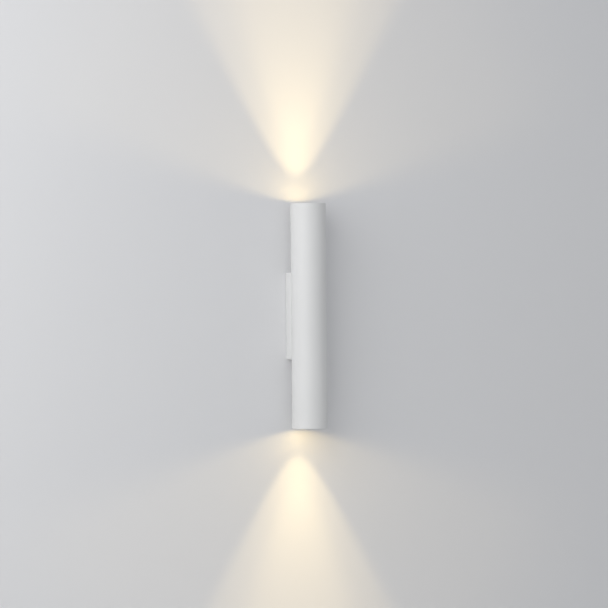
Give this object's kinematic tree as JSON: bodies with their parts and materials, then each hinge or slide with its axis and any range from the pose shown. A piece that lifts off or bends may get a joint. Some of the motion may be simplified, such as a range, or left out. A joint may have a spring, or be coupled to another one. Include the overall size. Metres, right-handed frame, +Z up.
{
  "type": "wall light",
  "caption": "Slim tube wall light on a mounting block, shining up and down from recessed twist-lock lamps.",
  "frame": {"origin": "middle of the wall-screw pattern, on the wall plate's rear face, which lies on the wall", "axes": "+Z up along the tube, +Y into the wall, +X to the right as seen facing the wall; the tube stands out along -Y"},
  "size_m": [0.055, 0.063, 0.35],
  "materials": {
    "white_powder_coat": "matt",
    "zinc_plated_sheet": "satin",
    "zinc_plated_steel": "satin",
    "black_steel": "satin",
    "black_rubber": "matt",
    "terminal_nylon": "satin",
    "brass": "satin",
    "tinned_brass": "satin",
    "nickel": "polished",
    "steatite": "unglazed",
    "white_lamp_plastic": "satin",
    "diffuser": "frosted",
    "led_board": "satin",
    "reflector_coat": "mirror",
    "brown_silicone": "satin",
    "blue_silicone": "satin",
    "earth_silicone": "satin"
  },
  "bodies": {
    "wall_mount": {"wall_plate": "zinc_plated_sheet", "cable_grommet": "black_rubber"},
    "luminaire": {"tube_body": "white_powder_coat", "mount_block": "white_powder_coat", "locking_screws": "black_steel", "block_screws": "zinc_plated_steel", "rivet_nuts": "zinc_plated_steel", "lamp_carrier": "zinc_plated_sheet", "upper_lampholder": "steatite", "upper_contacts": "brass", "upper_holder_screws": "zinc_plated_steel", "lower_lampholder": "steatite", "lower_contacts": "brass", "lower_holder_screws": "zinc_plated_steel", "terminal_block": "terminal_nylon", "terminal_clamps": "brass", "terminal_screws": "zinc_plated_steel", "terminal_fixing_screws": "zinc_plated_steel", "earth_tag": "tinned_brass", "earth_screw": "brass", "earth_lead": "earth_silicone", "upper_live_lead": "brown_silicone", "upper_neutral_lead": "blue_silicone", "lower_live_lead": "brown_silicone", "lower_neutral_lead": "blue_silicone"},
    "upper_lamp": {"upper_lamp_shell": "white_lamp_plastic", "upper_lamp_lens": "diffuser", "upper_led_board": "led_board", "upper_lamp_reflector": "reflector_coat", "upper_lamp_base": "white_lamp_plastic", "upper_lamp_pins": "nickel"},
    "lower_lamp": {"lower_lamp_shell": "white_lamp_plastic", "lower_lamp_lens": "diffuser", "lower_led_board": "led_board", "lower_lamp_reflector": "reflector_coat", "lower_lamp_base": "white_lamp_plastic", "lower_lamp_pins": "nickel"},
    "upper_ring": {"upper_front_ring": "white_powder_coat", "upper_ring_seal": "black_rubber"},
    "lower_ring": {"lower_front_ring": "white_powder_coat", "lower_ring_seal": "black_rubber"}
  },
  "joints": [
    {"name": "take_off_wall", "type": "slide", "parent": "wall_mount", "child": "luminaire", "axis": [0, -1, 0], "range_m": [0, 0.03]},
    {"name": "upper_ring_pull", "type": "slide", "parent": "luminaire", "child": "upper_ring", "axis": [0, 0, 1], "range_m": [0, 0.02]},
    {"name": "lower_ring_pull", "type": "slide", "parent": "luminaire", "child": "lower_ring", "axis": [0, 0, -1], "range_m": [0, 0.02]},
    {"name": "upper_lamp_twist", "type": "hinge", "parent": "luminaire", "child": "upper_lamp", "pos_m": [0, -0.0355, 0.158], "axis": [0, 0, 1], "range_deg": [0, 30]},
    {"name": "lower_lamp_twist", "type": "hinge", "parent": "luminaire", "child": "lower_lamp", "pos_m": [0, -0.0355, -0.158], "axis": [0, 0, -1], "range_deg": [0, 30]}
  ]
}
